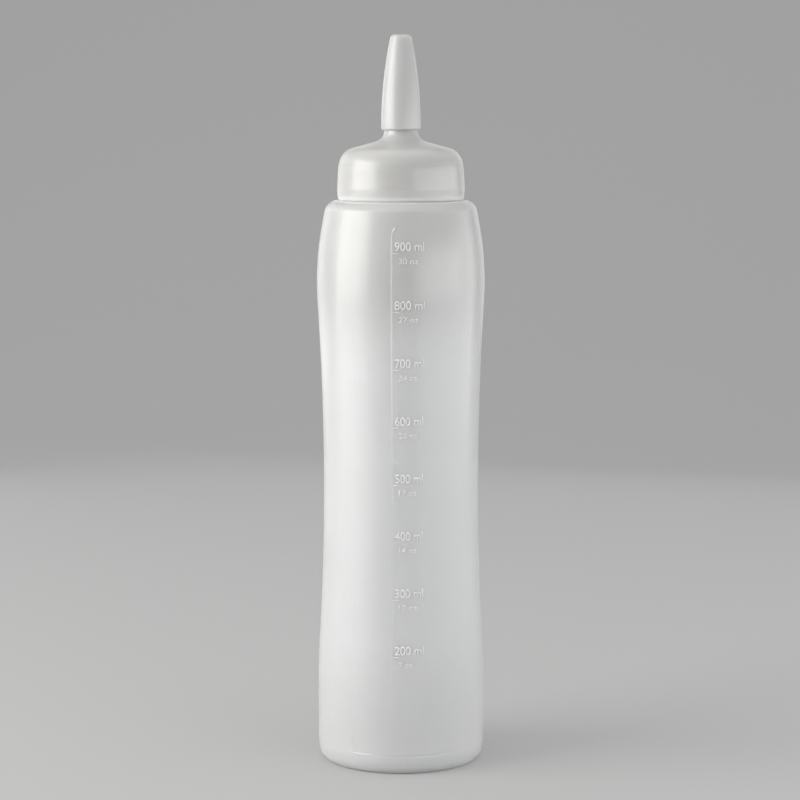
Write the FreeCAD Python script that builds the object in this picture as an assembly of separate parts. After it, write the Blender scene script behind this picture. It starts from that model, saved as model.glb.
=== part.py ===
"""Squeeze bottle: a waisted body, a screw cap with a long nozzle, and a slip-on nozzle cover.

Every piece is turned about the Z axis. Heights are measured up from the surface the bottle
stands on, and the origin is the middle of that standing surface. Millimetres throughout.
"""
import FreeCAD, Part
import math
import os

# ---- bottle body, outside: widths ----------------------------------------------------------
BULGE_RADIUS = 38.0        # widest place, below the shoulder
WAIST_DEPTH = 2.8          # how much slimmer the waist is than the bulge
BASE_STEP = 0.15           # how much slimmer the straight wall above the heel is
HEEL_INSET = 3.7           # how far the heel's curve comes in under that wall
SHOULDER_STEP = 3.43       # bulge beyond the outside of the shoulder's rounded corner
SHOULDER_CORNER = 6.35     # radius of that corner
SHOULDER_RING = 3.22       # width of the flat ring between the corner and the neck

# ---- bottle body, outside: heights, one on top of the other --------------------------------
HEEL_HEIGHT = 8.7          # height of the heel's curve
BASE_WALL = 23.8           # straight wall above it
LOWER_SWELL = 27.4         # outward arc that leads from that wall
LOWER_HOLLOW = 63.8        # inward arc, up to the waist
UPPER_HOLLOW = 86.8        # inward arc, up from the waist
UPPER_SWELL = 7.5          # outward arc, up to the widest place
SHOULDER_RISE = 36.9       # from the widest place to the flat ring

# ---- bottle body: wall, foot and neck ------------------------------------------------------
BOTTLE_WALL = 1.2
FOOT_WIDTH = 4.0           # width of the ring that the bottle stands on
PUSH_UP = 2.4              # rise of the base's middle above that ring
NECK_WALL = 1.6
NECK_LENGTH = 16.4         # from the flat ring to the rim
RIM_ROUNDING = 0.5

# ---- thread --------------------------------------------------------------------------------
THREAD_PITCH = 3.6
THREAD_TURNS = 1.5
THREAD_HEIGHT = 1.3        # how far a thread stands out from its wall
THREAD_ROOT = 1.7          # thickness of a thread at its wall
THREAD_CREST = 0.9         # thickness of a thread at its edge
THREAD_BITE = 0.3          # how far a thread's root reaches into its wall
THREAD_START = 3.4         # first turn of the neck's thread above the flat ring
THREAD_CLEARANCE = 0.4     # between a thread's edge and the other piece's wall

# ---- screw cap with nozzle -----------------------------------------------------------------
CAP_GAP = 0.4              # between the shoulder's flat ring and the cap's lower edge
SKIRT_WALL = 1.95          # wall at the widest place, just above the lower edge
SKIRT_CHAMFER = 1.55       # inward step of the lower edge
CHAMFER_HEIGHT = 2.3
SKIRT_DRAFT = 2.5          # degrees that the skirt leans in
CROWN_DROP = 2.9           # the skirt turns into the crown this far below the neck's rim
CROWN_WIDTH = 7.25         # from the widest place in to where the crown meets the cone
CROWN_HEIGHT = 9.85        # from the skirt's top up to there
CROWN_WALL = 1.8
CONE_SLOPE = 15.0          # degrees of the conical top
FLARE_WIDTH = 4.65         # sweep from the cone up into the nozzle
FLARE_HEIGHT = 4.5
NOZZLE_ROOT_RADIUS = 7.55  # nozzle at the top of that sweep
NOZZLE_TIP_RADIUS = 2.7
NOZZLE_LENGTH = 42.1       # from the sweep to the tip
NOZZLE_WALL = 1.2
SEAL_WIDTH = 2.0           # ring under the crown that presses on the neck's rim
SEAL_OVERHANG = 0.2        # how far that ring reaches inside the neck's bore

# ---- slip-on nozzle cover ------------------------------------------------------------------
COVER_WALL = 1.1
COVER_CLEARANCE = 0.15     # between the nozzle's root and the cover's mouth
COVER_LIFT = 0.9           # its lower edge above the sweep
COVER_STRAIGHT = 2.0       # straight stretch at the lower end, the rounding included
COVER_EDGE = 1.0           # rounding of the lower edge
COVER_CORNER = 2.1         # rounding of the top
TIP_CLEARANCE = 0.1        # between the nozzle's tip and the rounding inside the cover

# ---- sizes and places worked out from those above ------------------------------------------
BASE_RADIUS = BULGE_RADIUS - BASE_STEP
WAIST_RADIUS = BULGE_RADIUS - WAIST_DEPTH
RING_RADIUS = BULGE_RADIUS - SHOULDER_STEP - SHOULDER_CORNER
NECK_RADIUS = RING_RADIUS - SHOULDER_RING
NECK_BORE = NECK_RADIUS - NECK_WALL
CAP_BORE = NECK_RADIUS + THREAD_HEIGHT + THREAD_CLEARANCE
SKIRT_RADIUS = CAP_BORE + SKIRT_WALL
COVER_BORE = NOZZLE_ROOT_RADIUS + COVER_CLEARANCE

BASE_WALL_TOP = HEEL_HEIGHT + BASE_WALL
WAIST_HEIGHT = BASE_WALL_TOP + LOWER_SWELL + LOWER_HOLLOW
BULGE_HEIGHT = WAIST_HEIGHT + UPPER_HOLLOW + UPPER_SWELL
SHOULDER_HEIGHT = BULGE_HEIGHT + SHOULDER_RISE
NECK_TOP = SHOULDER_HEIGHT + NECK_LENGTH
CAP_BOTTOM = SHOULDER_HEIGHT + CAP_GAP
SKIRT_TOP = NECK_TOP - CROWN_DROP

CONE_RISE = math.tan(math.radians(CONE_SLOPE))
SKIRT_LEAN = math.tan(math.radians(SKIRT_DRAFT))
CROWN_EDGE = SKIRT_RADIUS - CROWN_WIDTH
CONE_APEX = SKIRT_TOP + CROWN_HEIGHT + CONE_RISE * CROWN_EDGE
FLARE_EDGE = NOZZLE_ROOT_RADIUS + FLARE_WIDTH
NOZZLE_ROOT = CONE_APEX - CONE_RISE * FLARE_EDGE + FLARE_HEIGHT
NOZZLE_TIP = NOZZLE_ROOT + NOZZLE_LENGTH
NOZZLE_LEAN = (NOZZLE_ROOT_RADIUS - NOZZLE_TIP_RADIUS) / NOZZLE_LENGTH

AXIS = FreeCAD.Vector(0, 0, 1)
CENTRE = FreeCAD.Vector(0, 0, 0)


def point(radius, height):
    """A place on the half section: distance from the axis, and height."""
    return FreeCAD.Vector(radius, 0, height)


def lines(*corners):
    """Straight stretches through the (radius, height) corners given."""
    return [Part.LineSegment(point(*a), point(*b)).toShape() for a, b in zip(corners, corners[1:])]


def arc(centre, radius, first, last):
    """Round stretch about a centre, between two angles in radians from the outward direction."""
    places = []
    for angle in (first, (first + last) / 2, last):
        places.append(point(centre[0] + radius * math.cos(angle),
                            centre[1] + radius * math.sin(angle)))
    return Part.Arc(*places).toShape()


def blend(start, corner, end):
    """Parabola that leaves start and reaches end along the two lines that meet at corner."""
    curve = Part.BezierCurve()
    curve.setPoles([point(*start), point(*corner), point(*end)])
    return curve.toShape()


def heel(centre, inset, height):
    """Quarter of an upright ellipse, from the wall down and in to the foot's edge."""
    top = point(centre[0], centre[1] + height)
    side = point(centre[0] + inset, centre[1])
    foot = point(centre[0], centre[1] - height)
    ellipse = Part.Ellipse(top, side, point(*centre))
    ends = sorted((ellipse.parameter(side), ellipse.parameter(foot)))
    if ends[1] - ends[0] > math.pi:
        ends = [ends[1], ends[0] + 2 * math.pi]
    return Part.Edge(ellipse, *ends)


def hollow_curve(wide_radius, wide_height, hollow_share, offset):
    """Two arcs that meet smoothly, from the waist to a wider place above or below it.

    Both ends run straight up and down. The arc at the waist takes the given share of the
    height, and the arc at the wide end takes the rest. offset is how far inside the outer
    surface the curve runs.
    """
    widening = wide_radius - WAIST_RADIUS
    rise = wide_height - WAIST_HEIGHT
    both_radii = (widening ** 2 + rise ** 2) / (2 * widening)
    waist_arc = both_radii * hollow_share
    wide_arc = both_radii - waist_arc
    turn = math.asin(rise / both_radii)
    return [arc((WAIST_RADIUS + waist_arc, WAIST_HEIGHT), waist_arc + offset,
                math.pi, math.pi - turn),
            arc((wide_radius - wide_arc, wide_height), wide_arc - offset, -turn, 0)]


def rounded_top(start_radius, start_height, flat_radius, top, corner, offset):
    """Long arc up from an upright start, then a corner that runs out into a flat top.

    The long arc's radius is the one with which it meets the corner smoothly.
    """
    inward = start_radius - flat_radius
    rise = top - corner - start_height
    long_arc = (inward ** 2 + rise ** 2 - corner ** 2) / (2 * (inward - corner))
    centre_radius = start_radius - long_arc
    turn = math.atan2(rise, flat_radius - centre_radius)
    return [arc((centre_radius, start_height), long_arc - offset, 0, turn),
            arc((flat_radius, top - corner), corner - offset, turn, math.pi / 2)]


def turned(edges):
    """Solid made by turning a closed half section about the axis."""
    face = Part.Face(Part.Wire(Part.__sortEdges__(edges)))
    solid = face.revolve(CENTRE, AXIS, 360)
    if solid.Volume < 0:
        solid.reverse()
    return solid


def tube(inside, outside, low, high):
    """Plain round tube on the axis."""
    foot = FreeCAD.Vector(0, 0, low)
    outer = Part.makeCylinder(outside, high - low, foot, AXIS)
    return outer.cut(Part.makeCylinder(inside, high - low, foot, AXIS))


def only_solid(shape):
    """The single solid of a result, with faces that continue each other joined."""
    solids = shape.removeSplitter().Solids
    if len(solids) != 1:
        raise ValueError("expected one solid, found %d" % len(solids))
    return solids[0]


def thread(wall_radius, outward, start):
    """Helical ridge: a trapezium carried round a helix on a wall.

    outward is 1 for a ridge on the outside of a wall, and -1 for one on the inside of a bore.
    """
    root = wall_radius - outward * THREAD_BITE
    crest = wall_radius + outward * THREAD_HEIGHT
    helix = Part.makeHelix(THREAD_PITCH, THREAD_PITCH * THREAD_TURNS, wall_radius)
    section = Part.makePolygon([point(root, -THREAD_ROOT / 2),
                                point(crest, -THREAD_CREST / 2),
                                point(crest, THREAD_CREST / 2),
                                point(root, THREAD_ROOT / 2),
                                point(root, -THREAD_ROOT / 2)])
    ridge = Part.Wire(helix).makePipeShell([section], True, True)
    ridge.translate(FreeCAD.Vector(0, 0, start))
    return ridge


def body_wall(offset):
    """Outline from the foot's edge up to the shoulder's flat ring, offset inwards."""
    wall = BASE_RADIUS - offset
    edges = [heel((BASE_RADIUS - HEEL_INSET, HEEL_HEIGHT), HEEL_INSET - offset,
                  HEEL_HEIGHT - offset)]
    edges += lines((wall, HEEL_HEIGHT), (wall, BASE_WALL_TOP))
    lower_share = LOWER_HOLLOW / (LOWER_HOLLOW + LOWER_SWELL)
    upper_share = UPPER_HOLLOW / (UPPER_HOLLOW + UPPER_SWELL)
    edges += hollow_curve(BASE_RADIUS, BASE_WALL_TOP, lower_share, offset)
    edges += hollow_curve(BULGE_RADIUS, BULGE_HEIGHT, upper_share, offset)
    edges += rounded_top(BULGE_RADIUS, BULGE_HEIGHT, RING_RADIUS, SHOULDER_HEIGHT,
                         SHOULDER_CORNER, offset)
    return edges


def body_floor(height):
    """Outline of the pushed-up base and its standing ring, from the axis outwards."""
    foot_edge = BASE_RADIUS - HEEL_INSET
    foot_inside = foot_edge - FOOT_WIDTH
    dome = blend((0, height + PUSH_UP), (foot_inside / 2, height + PUSH_UP), (foot_inside, height))
    return [dome] + lines((foot_inside, height), (foot_edge, height))


def make_bottle():
    """Thin blown body with a pushed-up base, and a threaded neck."""
    rim_side = (NECK_RADIUS, NECK_TOP - RIM_ROUNDING)
    rim_edge = (NECK_RADIUS - RIM_ROUNDING, NECK_TOP)
    outer = body_floor(0) + body_wall(0)
    outer += lines((RING_RADIUS, SHOULDER_HEIGHT), (NECK_RADIUS, SHOULDER_HEIGHT), rim_side)
    outer.append(arc((rim_edge[0], rim_side[1]), RIM_ROUNDING, 0, math.pi / 2))
    outer += lines(rim_edge, (0, NECK_TOP), (0, PUSH_UP))

    ring_inside = SHOULDER_HEIGHT - BOTTLE_WALL
    beyond = NECK_TOP + NECK_WALL
    inner = body_floor(BOTTLE_WALL) + body_wall(BOTTLE_WALL)
    inner += lines((RING_RADIUS, ring_inside), (NECK_BORE, ring_inside), (NECK_BORE, beyond),
                   (0, beyond), (0, PUSH_UP + BOTTLE_WALL))

    ridge = thread(NECK_RADIUS, 1, SHOULDER_HEIGHT + THREAD_START)
    return only_solid(turned(outer).cut(turned(inner)).fuse(ridge))


def cap_top(start_radius, lean, cone_apex, nozzle_inset):
    """Outline from the skirt's top, over crown and cone, to the nozzle's tip.

    Each rounding is a blend about the place where the straight stretches beside it would meet.
    lean is how much the skirt comes in for each unit of height.
    """
    meet = (cone_apex - CONE_RISE * (start_radius + lean * SKIRT_TOP)) / (1 - CONE_RISE * lean)
    crown_corner = (start_radius - lean * (meet - SKIRT_TOP), meet)
    crown_end = (CROWN_EDGE, cone_apex - CONE_RISE * CROWN_EDGE)

    root = (NOZZLE_ROOT_RADIUS - nozzle_inset, NOZZLE_ROOT)
    tip = (NOZZLE_TIP_RADIUS - nozzle_inset, NOZZLE_TIP)
    meet = cone_apex - CONE_RISE * (root[0] + NOZZLE_LEAN * NOZZLE_ROOT)
    meet /= 1 - CONE_RISE * NOZZLE_LEAN
    flare_corner = (root[0] + NOZZLE_LEAN * (NOZZLE_ROOT - meet), meet)
    flare_start = (FLARE_EDGE, cone_apex - CONE_RISE * FLARE_EDGE)

    return ([blend((start_radius, SKIRT_TOP), crown_corner, crown_end)]
            + lines(crown_end, flare_start)
            + [blend(flare_start, flare_corner, root)]
            + lines(root, tip))


def make_cap():
    """Screw cap and nozzle in one moulding, with an inner thread and a seal ring."""
    widest = CAP_BOTTOM + CHAMFER_HEIGHT
    lower = (SKIRT_RADIUS - SKIRT_CHAMFER, CAP_BOTTOM)
    skirt_top = (SKIRT_RADIUS - SKIRT_LEAN * (SKIRT_TOP - widest), SKIRT_TOP)
    edges = cap_top(skirt_top[0], SKIRT_LEAN, CONE_APEX, 0)
    edges.append(blend(lower, (SKIRT_RADIUS, CAP_BOTTOM + CHAMFER_HEIGHT / 3),
                       (SKIRT_RADIUS, widest)))
    edges += lines((SKIRT_RADIUS, widest), skirt_top)
    edges += lines((NOZZLE_TIP_RADIUS, NOZZLE_TIP), (0, NOZZLE_TIP), (0, CAP_BOTTOM), lower)
    outside = turned(edges)

    apex_inside = CONE_APEX - CROWN_WALL / math.cos(math.radians(CONE_SLOPE))
    orifice = NOZZLE_TIP_RADIUS - NOZZLE_WALL
    mouth = CAP_BOTTOM - CAP_GAP
    beyond = NOZZLE_TIP + NOZZLE_WALL
    edges = cap_top(CAP_BORE, 0, apex_inside, NOZZLE_WALL)
    edges += lines((orifice, NOZZLE_TIP), (orifice, beyond), (0, beyond), (0, mouth),
                   (CAP_BORE, mouth), (CAP_BORE, SKIRT_TOP))
    hollow = turned(edges)

    seal_inside = NECK_BORE - SEAL_OVERHANG
    seal = tube(seal_inside, seal_inside + SEAL_WIDTH, NECK_TOP, NOZZLE_TIP).common(outside)
    ridge = thread(CAP_BORE, -1, SHOULDER_HEIGHT + THREAD_START + THREAD_PITCH / 2)
    return only_solid(outside.cut(hollow).fuse(seal).fuse(ridge))


def make_cover():
    """Tapered cover that slips over the nozzle and rests on its tip."""
    bottom = NOZZLE_ROOT + COVER_LIFT
    straight_top = bottom + COVER_STRAIGHT
    radius = COVER_BORE + COVER_WALL
    top = NOZZLE_TIP + COVER_WALL
    flat = NOZZLE_TIP_RADIUS + TIP_CLEARANCE

    edge = (radius - COVER_EDGE, bottom + COVER_EDGE)
    outer = rounded_top(radius, straight_top, flat, top, COVER_CORNER, 0)
    outer += lines((flat, top), (0, top), (0, bottom), (edge[0], bottom))
    outer.append(arc(edge, COVER_EDGE, -math.pi / 2, 0))
    outer += lines((radius, edge[1]), (radius, straight_top))

    below = bottom - COVER_WALL
    inner = rounded_top(radius, straight_top, flat, top, COVER_CORNER, COVER_WALL)
    inner += lines((flat, NOZZLE_TIP), (0, NOZZLE_TIP), (0, below), (COVER_BORE, below),
                   (COVER_BORE, straight_top))
    return only_solid(turned(outer).cut(turned(inner)))


os.makedirs("parts", exist_ok=True)
for name, shape in (("bottle", make_bottle()), ("cap", make_cap()), ("tip_cap", make_cover())):
    shape.exportStep("parts/%s.step" % name)
    print("%-8s valid: %s, %.2f cm3" % (name, shape.isValid(), shape.Volume / 1000))
print("neck radius %.2f, cap radius %.2f, cap's lower edge at %.2f, top of all at %.2f"
      % (NECK_RADIUS, SKIRT_RADIUS, CAP_BOTTOM, NOZZLE_TIP + COVER_WALL))
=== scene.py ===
"""Looks of a tall squeeze bottle: blown body with a raised scale, screw cap, nozzle and cover.

Bottle, cap and cover are turned surfaces: an outline of (distance from the axis, height) places is
carried round the Z axis, and small forms such as threads, parting line and scale line are added to
that distance as functions of angle and height. Angle 0 faces the front (-Y) and grows towards +X.
The figures and ticks of the scale are laid on the bottle's wall. Sizes are in millimetres until a
mesh is made, and the meshes are in metres.
"""
import math

import bmesh
import bpy
import numpy as np
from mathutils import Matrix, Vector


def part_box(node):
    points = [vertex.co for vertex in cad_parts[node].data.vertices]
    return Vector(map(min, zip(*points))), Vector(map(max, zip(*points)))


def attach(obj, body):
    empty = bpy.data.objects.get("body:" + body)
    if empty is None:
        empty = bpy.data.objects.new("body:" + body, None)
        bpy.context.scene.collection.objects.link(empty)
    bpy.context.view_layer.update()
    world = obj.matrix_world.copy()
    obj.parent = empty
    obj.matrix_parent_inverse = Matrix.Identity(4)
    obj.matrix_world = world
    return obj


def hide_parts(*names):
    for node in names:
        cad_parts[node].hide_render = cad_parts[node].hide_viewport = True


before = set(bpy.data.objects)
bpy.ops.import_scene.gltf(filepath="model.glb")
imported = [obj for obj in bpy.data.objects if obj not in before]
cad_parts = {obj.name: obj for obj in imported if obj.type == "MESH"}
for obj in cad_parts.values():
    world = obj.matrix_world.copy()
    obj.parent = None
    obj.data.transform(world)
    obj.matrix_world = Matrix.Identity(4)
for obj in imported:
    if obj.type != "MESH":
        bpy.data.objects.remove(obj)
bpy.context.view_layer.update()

MM = 0.001

# ---- sizes read from the frame ---------------------------------------------------------------
_, bottle_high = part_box("bottle")
cap_low, cap_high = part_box("cap")
cover_low, cover_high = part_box("tip_cap")

BULGE_RADIUS = bottle_high.x / MM
NECK_TOP = bottle_high.z / MM
SKIRT_RADIUS = cap_high.x / MM
CAP_BOTTOM = cap_low.z / MM
NOZZLE_TIP = cap_high.z / MM
COVER_RADIUS = cover_high.x / MM
COVER_BOTTOM = cover_low.z / MM
COVER_TOP = cover_high.z / MM

# ---- bottle body -----------------------------------------------------------------------------
WAIST_DEPTH = 2.8          # the waist lies this far inside the bulge
BASE_STEP = 0.15           # and the base this far
HEEL_INSET = 3.7           # width of the heel's rounding
HEEL_HEIGHT = 8.7
HEEL_BAND = 1.5            # closely divided band above the heel, for the crease
BASE_WALL = 23.8           # heights of the stretches from the heel up to the bulge
LOWER_SWELL = 27.4
LOWER_HOLLOW = 63.8
UPPER_HOLLOW = 86.8
UPPER_SWELL = 7.5
SHOULDER_STEP = 3.43       # the shoulder's corner starts this far inside the bulge
SHOULDER_CORNER = 6.35
SHOULDER_RING = 3.22       # width of the flat ring that the cap sits on
BOTTLE_WALL = 1.2
FOOT_WIDTH = 4.0
PUSH_UP = 2.4
NECK_WALL = 1.6
NECK_LENGTH = 16.4
NECK_PLAIN = 1.5           # neck below its thread
NECK_FILLET = 0.4
BORE_FILLET = 0.3
RIM_ROUNDING = 0.5

# ---- thread ----------------------------------------------------------------------------------
THREAD_PITCH = 3.6
THREAD_TURNS = 1.5
THREAD_HEIGHT = 1.3
THREAD_ROOT = 1.7
THREAD_CREST = 0.9
THREAD_START = 3.4
THREAD_CLEARANCE = 0.4
THREAD_RUN_OUT = 0.12      # turns over which a thread rises from the wall

# ---- cap and nozzle --------------------------------------------------------------------------
CHAMFER_HEIGHT = 2.3
HEM_HEIGHT = 5.3           # from the skirt's lower edge up to where it is widest
HEM_INSET = 0.16           # the hem draws in by this much before its rounded edge
HEM_ROUNDING = 0.8         # width of that edge
HEM_FULLNESS = 0.1         # how nearly upright the edge ends
HEM_FILLET = 0.9
SEAT_GAP = 0.05            # the screwed-down skirt stands this far above the shoulder's ring
SKIRT_DRAFT = 2.5
CROWN_DROP = 2.9
CROWN_WIDTH = 7.25
CROWN_HEIGHT = 9.85
CROWN_WALL = 1.8
CONE_SLOPE = 15.0
FLARE_WIDTH = 4.65
NOZZLE_ROOT_RADIUS = 7.55
NOZZLE_TIP_RADIUS = 2.7
NOZZLE_LENGTH = 42.1
NOZZLE_WALL = 1.2
SEAL_WIDTH = 2.0
SEAL_OVERHANG = 0.2
TIP_FILLET = 0.2           # at the nozzle's tip and along the seal ring

# ---- nozzle cover ----------------------------------------------------------------------------
COVER_WALL = 1.1
COVER_CLEARANCE = 0.15
COVER_STRAIGHT = 2.0
COVER_EDGE = 1.0
COVER_CORNER = 2.1
TIP_CLEARANCE = 0.1

# ---- raised scale on the front ---------------------------------------------------------------
SCALE_LABELS = ((900, 30), (800, 27), (700, 24), (600, 20), (500, 17), (400, 14), (300, 10),
                (200, 7))
SCALE_TOP = 236.0          # middle of the highest number
SCALE_STEP = 25.64         # from one number down to the next
NUMBER_HEIGHT = 3.9
NUMBER_WIDTH = 13.4
NUMBER_LEFT = -2.8         # left end of the numbers, measured round the wall from the front
OUNCE_HEIGHT = 2.5
OUNCE_WIDTH = 8.6
OUNCE_LEFT = -1.0
OUNCE_DROP = 6.4
ONE_DIGIT_SHARE = 0.72     # width of ounces with one digit, against those with two
TICK_DROP = 2.9
TICK_LENGTH = 3.2
TICK_WIDTH = 0.35
RELIEF = 0.18              # how far numbers and ticks stand out from the wall
RELIEF_ROOT = 0.12         # how far they reach into it
LINE_PLACE = -4.1          # upright scale line, measured round the wall
LINE_TOP = 243.5
LINE_BOTTOM = 10.0
LINE_WIDTH = 1.0
LINE_HEIGHT = 0.16
LINE_LOW_SHARE = 0.35      # the line is this much of its height at its lower end
LINE_FULL_BOTTOM = 40.0    # and rises from here
LINE_FULL_TOP = 215.0      # to its full height here
HOOK_LENGTH = 1.3          # short slanting stroke at the line's upper end
HOOK_DROP = 1.2
HOOK_RISE = 0.6
LINE_FADE = 14.0           # the line fades out over this much at its lower end
LINE_TOP_FADE = 1.0        # and over this much at its upper end
LETTER_DEPTH = 0.03        # half the thickness of letters of size 1, before they are scaled
LETTER_BEVEL = 0.012
LETTER_THINNING = 0.006    # their strokes are drawn thinner by this much
BAR_PLACES = 9             # places along a tick
BAR_CORNERS = 12           # corners of its section
BAR_BLUNTNESS = 8          # a higher power gives a tick blunter ends
BAR_END = 0.02             # square of the share of its section that is left at an end

# ---- what the mould and the blowing leave on the wall ------------------------------------------
FRONT_INSET = 0.3          # the wall is this much shallower at the front, under the scale
FRONT_SPREAD = 0.75        # over about this angle, in radians
WAVINESS = 0.17            # unevenness of the blown wall
WAVES = ((0.34, 2, 61, 0.7), (0.26, 3, -43, 2.1), (0.18, 5, 29, 4.4), (0.12, 7, -19, 1.3),
         (0.10, 2, 14, 5.2))    # share, waves round the wall, rise in each radian, start
WAVES_BOTTOM = 2.0         # the unevenness rises from here
WAVES_FULL = 16.0          # to its full depth here
WAVES_FADE = 8.0           # and fades out over this much
WAVES_END = 1.0            # up to this far below the shoulder's ring
PARTING_ANGLE = math.radians(-35.6)
PARTING_WIDTH = 0.55
PARTING_HEIGHT = 0.05
PINCH_TOP = 21.0           # the parting line is taller and wider from the heel up to here
PINCH_HEIGHT = 0.4
PINCH_WIDENING = 0.6
PINCH_RISE = 1.8
PINCH_FADE = 3.0
CREASE_DEPTH = 0.12        # where the mould's base meets its sides
CREASE_WIDTH = 1.0
CREASE_EVEN = 0.25         # share of the groove that runs all the way round
GROOVE = (1.0, 0.2, 0.35)  # the deeper groove: share, angle, spread
LIP = (1.5, -0.46, 0.16)   # and the lip that stands out on the left
RIDGES_BOTTOM = 5.0        # heights between which ridges and crease fade in at the heel
RIDGES_FULL = 7.5
RIDGES_FADE = 5.0          # and over which they fade out under the shoulder
RIDGES_END = 3.0
FOOT_MARGIN = 0.1          # none of these forms reaches nearer to the foot or the inner floor,
RING_MARGIN = 0.5          # nearer to the shoulder's ring from below,
BORE_MARGIN = 2.0          # or, inside, nearer to the line of the neck's bore

# ---- whiteness of the plastic, with painted light and shade, 1 being that of the plain wall ----
THIN_BOTTOM = 178.0        # from here up the wall gets thinner towards the bulge, and darker with painted shade
THIN_TOP_ABOVE_BULGE = 8.0
THIN_WALL_AND_PAINTED_SHADE = 0.3            # whiteness that the thin wall lacks, with painted shade on the upper wall
HEEL_PAINTED_SHADE = 0.07           # painted shade: the wall darker towards the base, above the heel
HEEL_SHADE_REACH = 45.0
RING_PAINTED_LIGHT = 0.12           # painted light on the shoulder's ring, against the shade under the cap's hem
RING_DEPTH = 1.0           # it starts this far below the ring
FOOT_PAINTED_LIGHT = 0.14           # painted light on the heel's underside, against the shade at the floor
FOOT_GAIN_BOTTOM = 1.0
MARK_TONE_SHARE = 0.4            # share of the wall's change in whiteness, with its painted light and shade, on the marks
HEM_PAINTED_LIGHT = 0.05            # painted light on the cap's hem, which also makes it matt
HEM_BLEND = 1.0            # it ends over this much
EDGE_PAINTED_LIGHT = 0.45           # and painted light on its lower edge, against the shade of the groove at the shoulder
RIM_PAINTED_SHADE = 0.04            # painted shade where the neck's rim shows faintly through the cap
RIM_DEPTH = 0.7
RIM_WIDTH = 1.4

# ---- how finely the surfaces are divided ------------------------------------------------------
BODY_ANGLES = 240
CAP_ANGLES = 256
COVER_ANGLES = 160
FINE_REACH = 1.0           # closer angles lie this far to both sides of an upright line
FINE_COUNT = 13
FINE_CLEARANCE = 1.3       # and the even ones stay this many times as far from it
ON_BORE = 0.01             # places this near to the cap's bore are part of it
DOUBLED = 1e-4             # a place no further than this from the one before is left out

# ---- sizes worked out from those above -------------------------------------------------------
BASE_RADIUS = BULGE_RADIUS - BASE_STEP
WAIST_RADIUS = BULGE_RADIUS - WAIST_DEPTH
RING_RADIUS = BULGE_RADIUS - SHOULDER_STEP - SHOULDER_CORNER
NECK_RADIUS = RING_RADIUS - SHOULDER_RING
NECK_BORE = NECK_RADIUS - NECK_WALL
CAP_BORE = NECK_RADIUS + THREAD_HEIGHT + THREAD_CLEARANCE
COVER_BORE = NOZZLE_ROOT_RADIUS + COVER_CLEARANCE
BASE_WALL_TOP = HEEL_HEIGHT + BASE_WALL
WAIST_HEIGHT = BASE_WALL_TOP + LOWER_SWELL + LOWER_HOLLOW
BULGE_HEIGHT = WAIST_HEIGHT + UPPER_HOLLOW + UPPER_SWELL
SHOULDER_HEIGHT = NECK_TOP - NECK_LENGTH
SKIRT_TOP = NECK_TOP - CROWN_DROP
CONE_RISE = math.tan(math.radians(CONE_SLOPE))
SKIRT_LEAN = math.tan(math.radians(SKIRT_DRAFT))
CROWN_EDGE = SKIRT_RADIUS - CROWN_WIDTH
CONE_APEX = SKIRT_TOP + CROWN_HEIGHT + CONE_RISE * CROWN_EDGE
FLARE_EDGE = NOZZLE_ROOT_RADIUS + FLARE_WIDTH
NOZZLE_ROOT = NOZZLE_TIP - NOZZLE_LENGTH
NOZZLE_LEAN = (NOZZLE_ROOT_RADIUS - NOZZLE_TIP_RADIUS) / NOZZLE_LENGTH
FOOT_EDGE = BASE_RADIUS - HEEL_INSET
FOOT_INSIDE = FOOT_EDGE - FOOT_WIDTH


# ---- outlines --------------------------------------------------------------------------------
def stretch(start, end, count):
    """Straight: (1 - t) start + t end."""
    t = np.linspace(0, 1, count)[:, None]
    return (1 - t) * np.array(start) + t * np.array(end)


def arc(centre, radius, first, last, count):
    """Round: centre + radius (cos a, sin a), with a from first to last."""
    a = np.linspace(first, last, count)
    return np.array(centre) + radius * np.stack([np.cos(a), np.sin(a)], axis=1)


def blend(start, corner, end, count):
    """Parabola along two lines that meet at corner: (1-t)^2 start + 2t(1-t) corner + t^2 end."""
    start, corner, end = np.array(start), np.array(corner), np.array(end)
    t = np.linspace(0, 1, count)[:, None]
    return (1 - t) ** 2 * start + 2 * t * (1 - t) * corner + t ** 2 * end


def joined(*stretches):
    """One outline from stretches that follow each other, without doubled places."""
    places = np.concatenate(stretches)
    steps = np.linalg.norm(np.diff(places, axis=0), axis=1)
    return places[np.concatenate([[True], steps > DOUBLED])]


def softened(corners, size, count=5):
    """Straight stretches through corners, with a small parabola of that size at each inner one."""
    corners = np.array(corners, float)
    made = [corners[:1]]
    for before, corner, after in zip(corners, corners[1:], corners[2:]):
        back = (before - corner) / np.linalg.norm(before - corner)
        on = (after - corner) / np.linalg.norm(after - corner)
        made.append(blend(corner + size * back, corner, corner + size * on, count))
    made.append(corners[-1:])
    return np.concatenate(made)


def hollow_curve(wide_radius, wide_height, hollow_share, offset, counts):
    """Two arcs that meet smoothly, from the waist to a wider place, both upright at their ends.

    Both radii together are (widening^2 + rise^2) / (2 widening), shared out by height.
    """
    widening = wide_radius - WAIST_RADIUS
    rise = wide_height - WAIST_HEIGHT
    both_radii = (widening ** 2 + rise ** 2) / (2 * widening)
    waist_arc = both_radii * hollow_share
    wide_arc = both_radii - waist_arc
    turn = math.asin(rise / both_radii)
    return joined(
        arc((WAIST_RADIUS + waist_arc, WAIST_HEIGHT), waist_arc + offset, math.pi, math.pi - turn,
            counts[0]),
        arc((wide_radius - wide_arc, wide_height), wide_arc - offset, -turn, 0, counts[1]))


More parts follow.
